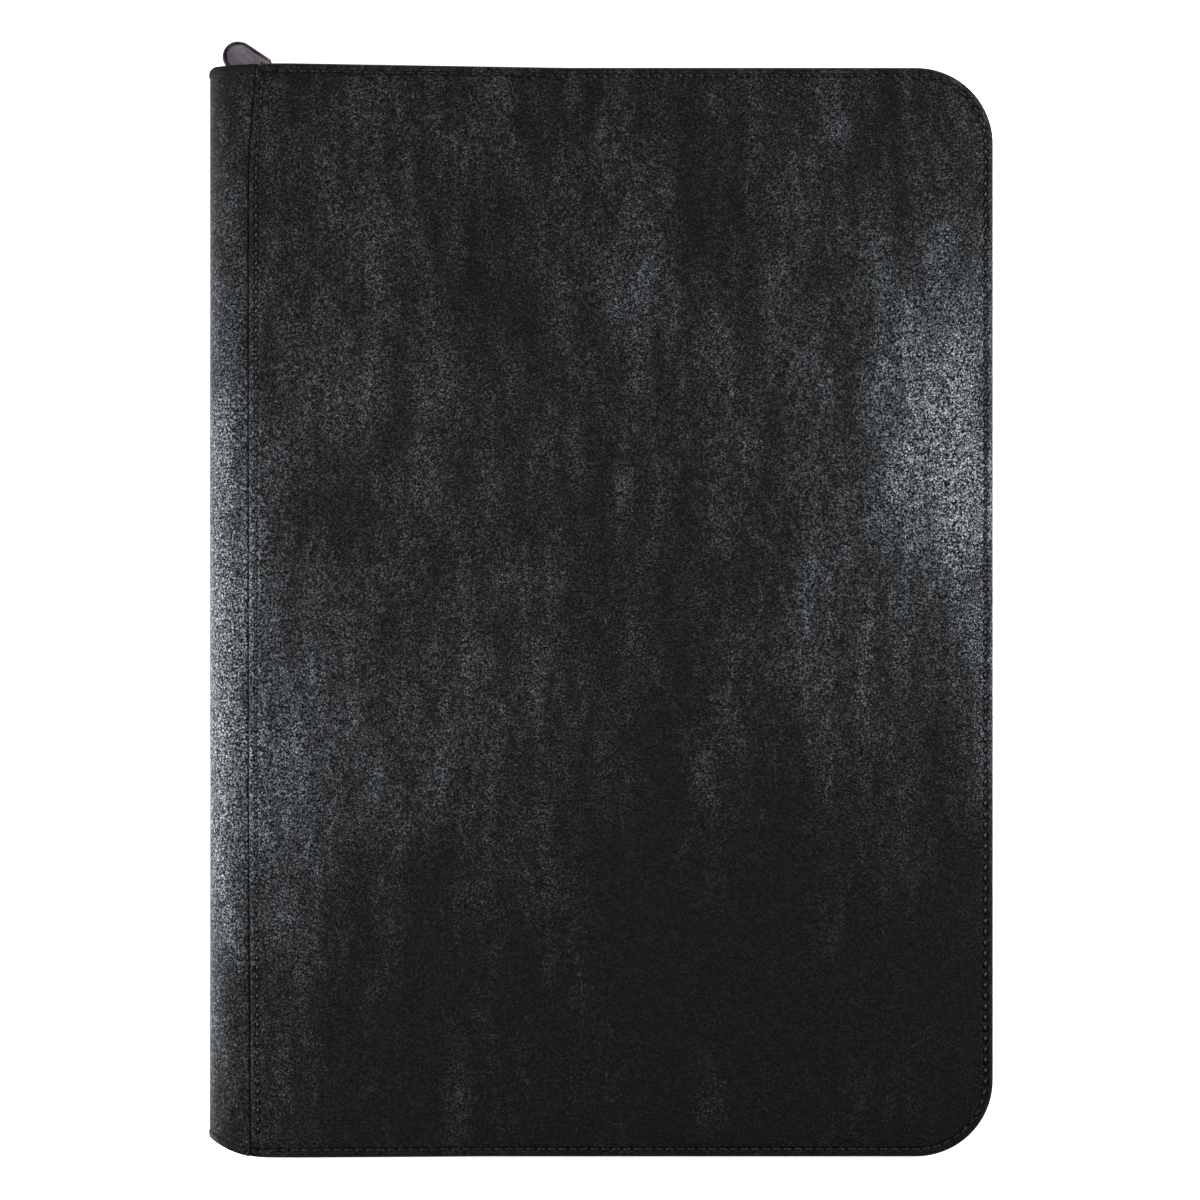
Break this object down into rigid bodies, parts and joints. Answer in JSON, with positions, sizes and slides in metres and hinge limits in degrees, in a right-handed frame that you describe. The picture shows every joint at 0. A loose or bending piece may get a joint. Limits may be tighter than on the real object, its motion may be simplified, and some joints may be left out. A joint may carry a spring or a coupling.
{
  "type": "trading card binder",
  "caption": "Zip-around padded leathercloth binder with a soft spine, side-loading nine-pocket card leaves and a coil zip with a metal pull, lying closed.",
  "frame": {"origin": "middle of the back panel's outer face, half way across the whole binder and half way between head and foot", "axes": "+Z from the back panel to the front panel, +Y towards the head, +X from the spine towards the fore-edge"},
  "size_m": [0.255, 0.3643, 0.036],
  "materials": {
    "leathercloth": "worn, brushed leathercloth, near black",
    "foam": "thin padding foam",
    "board": "grey binder board",
    "lining": "black woven lining cloth",
    "thread": "black bonded polyester thread",
    "zip_tape": "black woven zip tape",
    "zip_coil": "black nylon coil",
    "zip_metal": "black painted zinc alloy",
    "pull_metal": "gunmetal plated zinc alloy with a black rim",
    "edge_binding": "black binding cloth",
    "binding_plastic": "black polypropylene",
    "leaf_sheet": "black polypropylene sheet under clear pocket film"
  },
  "bodies": {
    "root": {"back_skin": "leathercloth", "back_joint_skin": "leathercloth", "back_foam": "foam", "back_board": "board", "back_lining": "lining", "back_edge_thread": "thread", "back_fold_thread": "thread", "back_zip_tape": "zip_tape", "back_zip_teeth": "zip_coil", "zip_head_tail": "zip_coil", "zip_foot_tail": "zip_coil", "head_stop": "zip_metal", "foot_stop": "zip_metal"},
    "spine": {"spine_skin": "leathercloth", "spine_board": "board", "spine_lining": "lining", "head_edge_binding": "edge_binding", "foot_edge_binding": "edge_binding", "head_gusset": "edge_binding", "foot_gusset": "edge_binding", "binding_channel": "binding_plastic", "upper_binding_strip": "binding_plastic", "lower_binding_strip": "binding_plastic", "binding_thread": "thread", "leaf_roots": "leaf_sheet"},
    "front_cover": {"front_skin": "leathercloth", "front_joint_skin": "leathercloth", "front_foam": "foam", "front_board": "board", "front_lining": "lining", "front_edge_thread": "thread", "front_fold_thread": "thread", "front_zip_tape": "zip_tape", "front_zip_teeth": "zip_coil"},
    "leaf_01": {"leaf_01": "leaf_sheet"},
    "leaf_02": {"leaf_02": "leaf_sheet"},
    "leaf_03": {"leaf_03": "leaf_sheet"},
    "leaf_04": {"leaf_04": "leaf_sheet"},
    "leaf_05": {"leaf_05": "leaf_sheet"},
    "leaf_06": {"leaf_06": "leaf_sheet"},
    "leaf_07": {"leaf_07": "leaf_sheet"},
    "leaf_08": {"leaf_08": "leaf_sheet"},
    "leaf_09": {"leaf_09": "leaf_sheet"},
    "leaf_10": {"leaf_10": "leaf_sheet"},
    "leaf_11": {"leaf_11": "leaf_sheet"},
    "leaf_12": {"leaf_12": "leaf_sheet"},
    "leaf_13": {"leaf_13": "leaf_sheet"},
    "leaf_14": {"leaf_14": "leaf_sheet"},
    "leaf_15": {"leaf_15": "leaf_sheet"},
    "leaf_16": {"leaf_16": "leaf_sheet"},
    "leaf_17": {"leaf_17": "leaf_sheet"},
    "leaf_18": {"leaf_18": "leaf_sheet"},
    "leaf_19": {"leaf_19": "leaf_sheet"},
    "leaf_20": {"leaf_20": "leaf_sheet"},
    "slider": {"slider_body": "zip_metal", "slider_bridge": "zip_metal"},
    "link": {"pull_link": "zip_metal"},
    "pull": {"pull_tab": "pull_metal"}
  },
  "joints": [
    {"name": "spine_fold", "type": "hinge", "parent": "root", "child": "spine", "pos_m": [-0.1251, 0, 0.0024], "axis": [0, -1, 0], "range_deg": [0, 90]},
    {"name": "front_cover_fold", "type": "hinge", "parent": "spine", "child": "front_cover", "pos_m": [-0.1251, 0, 0.0336], "axis": [0, -1, 0], "range_deg": [0, 90]},
    {"name": "leaf_01_turn", "type": "hinge", "parent": "spine", "child": "leaf_01", "pos_m": [-0.1125, 0, 0.00945], "axis": [0, -1, 0], "range_deg": [-92, 0]},
    {"name": "leaf_02_turn", "type": "hinge", "parent": "spine", "child": "leaf_02", "pos_m": [-0.11188, 0, 0.01035], "axis": [0, -1, 0], "range_deg": [-91.1, 0]},
    {"name": "leaf_03_turn", "type": "hinge", "parent": "spine", "child": "leaf_03", "pos_m": [-0.11126, 0, 0.01125], "axis": [0, -1, 0], "range_deg": [-90.2, 0]},
    {"name": "leaf_04_turn", "type": "hinge", "parent": "spine", "child": "leaf_04", "pos_m": [-0.11064, 0, 0.01215], "axis": [0, -1, 0], "range_deg": [-89.3, 0]},
    {"name": "leaf_05_turn", "type": "hinge", "parent": "spine", "child": "leaf_05", "pos_m": [-0.11002, 0, 0.01305], "axis": [0, -1, 0], "range_deg": [-88.4, 0]},
    {"name": "leaf_06_turn", "type": "hinge", "parent": "spine", "child": "leaf_06", "pos_m": [-0.1094, 0, 0.01395], "axis": [0, -1, 0], "range_deg": [-87.5, 0]},
    {"name": "leaf_07_turn", "type": "hinge", "parent": "spine", "child": "leaf_07", "pos_m": [-0.10878, 0, 0.01485], "axis": [0, -1, 0], "range_deg": [-86.6, 0]},
    {"name": "leaf_08_turn", "type": "hinge", "parent": "spine", "child": "leaf_08", "pos_m": [-0.10816, 0, 0.01575], "axis": [0, -1, 0], "range_deg": [-85.7, 0]},
    {"name": "leaf_09_turn", "type": "hinge", "parent": "spine", "child": "leaf_09", "pos_m": [-0.10754, 0, 0.01665], "axis": [0, -1, 0], "range_deg": [-84.8, 0]},
    {"name": "leaf_10_turn", "type": "hinge", "parent": "spine", "child": "leaf_10", "pos_m": [-0.10692, 0, 0.01755], "axis": [0, -1, 0], "range_deg": [-83.9, 0]},
    {"name": "leaf_11_turn", "type": "hinge", "parent": "spine", "child": "leaf_11", "pos_m": [-0.10692, 0, 0.01845], "axis": [0, -1, 0], "range_deg": [0, 83.9]},
    {"name": "leaf_12_turn", "type": "hinge", "parent": "spine", "child": "leaf_12", "pos_m": [-0.10754, 0, 0.01935], "axis": [0, -1, 0], "range_deg": [0, 84.8]},
    {"name": "leaf_13_turn", "type": "hinge", "parent": "spine", "child": "leaf_13", "pos_m": [-0.10816, 0, 0.02025], "axis": [0, -1, 0], "range_deg": [0, 85.7]},
    {"name": "leaf_14_turn", "type": "hinge", "parent": "spine", "child": "leaf_14", "pos_m": [-0.10878, 0, 0.02115], "axis": [0, -1, 0], "range_deg": [0, 86.6]},
    {"name": "leaf_15_turn", "type": "hinge", "parent": "spine", "child": "leaf_15", "pos_m": [-0.1094, 0, 0.02205], "axis": [0, -1, 0], "range_deg": [0, 87.5]},
    {"name": "leaf_16_turn", "type": "hinge", "parent": "spine", "child": "leaf_16", "pos_m": [-0.11002, 0, 0.02295], "axis": [0, -1, 0], "range_deg": [0, 88.4]},
    {"name": "leaf_17_turn", "type": "hinge", "parent": "spine", "child": "leaf_17", "pos_m": [-0.11064, 0, 0.02385], "axis": [0, -1, 0], "range_deg": [0, 89.3]},
    {"name": "leaf_18_turn", "type": "hinge", "parent": "spine", "child": "leaf_18", "pos_m": [-0.11126, 0, 0.02475], "axis": [0, -1, 0], "range_deg": [0, 90.2]},
    {"name": "leaf_19_turn", "type": "hinge", "parent": "spine", "child": "leaf_19", "pos_m": [-0.11188, 0, 0.02565], "axis": [0, -1, 0], "range_deg": [0, 91.1]},
    {"name": "leaf_20_turn", "type": "hinge", "parent": "spine", "child": "leaf_20", "pos_m": [-0.1125, 0, 0.02655], "axis": [0, -1, 0], "range_deg": [0, 92]},
    {"name": "zip_slide", "type": "slide", "parent": "root", "child": "slider", "axis": [1, 0, 0], "range_m": [0, 0.2]},
    {"name": "link_turn", "type": "hinge", "parent": "slider", "child": "link", "pos_m": [-0.1038, 0.1731, 0.018], "axis": [0, 0, 1], "range_deg": [-70, 0]},
    {"name": "pull_turn", "type": "hinge", "parent": "link", "child": "pull", "pos_m": [-0.10906, 0.17502, 0.018], "axis": [0, 0, 1], "range_deg": [-50, 0]}
  ],
  "couplings": [
    {"joint": "front_cover_fold", "follows": "spine_fold", "ratio": 1},
    {"joint": "leaf_01_turn", "follows": "spine_fold", "ratio": -1.0222},
    {"joint": "leaf_02_turn", "follows": "spine_fold", "ratio": -1.0122},
    {"joint": "leaf_03_turn", "follows": "spine_fold", "ratio": -1.0022},
    {"joint": "leaf_04_turn", "follows": "spine_fold", "ratio": -0.99222},
    {"joint": "leaf_05_turn", "follows": "spine_fold", "ratio": -0.98222},
    {"joint": "leaf_06_turn", "follows": "spine_fold", "ratio": -0.97222},
    {"joint": "leaf_07_turn", "follows": "spine_fold", "ratio": -0.96222},
    {"joint": "leaf_08_turn", "follows": "spine_fold", "ratio": -0.95222},
    {"joint": "leaf_09_turn", "follows": "spine_fold", "ratio": -0.94222},
    {"joint": "leaf_10_turn", "follows": "spine_fold", "ratio": -0.93222},
    {"joint": "leaf_11_turn", "follows": "spine_fold", "ratio": 0.93222},
    {"joint": "leaf_12_turn", "follows": "spine_fold", "ratio": 0.94222},
    {"joint": "leaf_13_turn", "follows": "spine_fold", "ratio": 0.95222},
    {"joint": "leaf_14_turn", "follows": "spine_fold", "ratio": 0.96222},
    {"joint": "leaf_15_turn", "follows": "spine_fold", "ratio": 0.97222},
    {"joint": "leaf_16_turn", "follows": "spine_fold", "ratio": 0.98222},
    {"joint": "leaf_17_turn", "follows": "spine_fold", "ratio": 0.99222},
    {"joint": "leaf_18_turn", "follows": "spine_fold", "ratio": 1.0022},
    {"joint": "leaf_19_turn", "follows": "spine_fold", "ratio": 1.0122},
    {"joint": "leaf_20_turn", "follows": "spine_fold", "ratio": 1.0222}
  ]
}
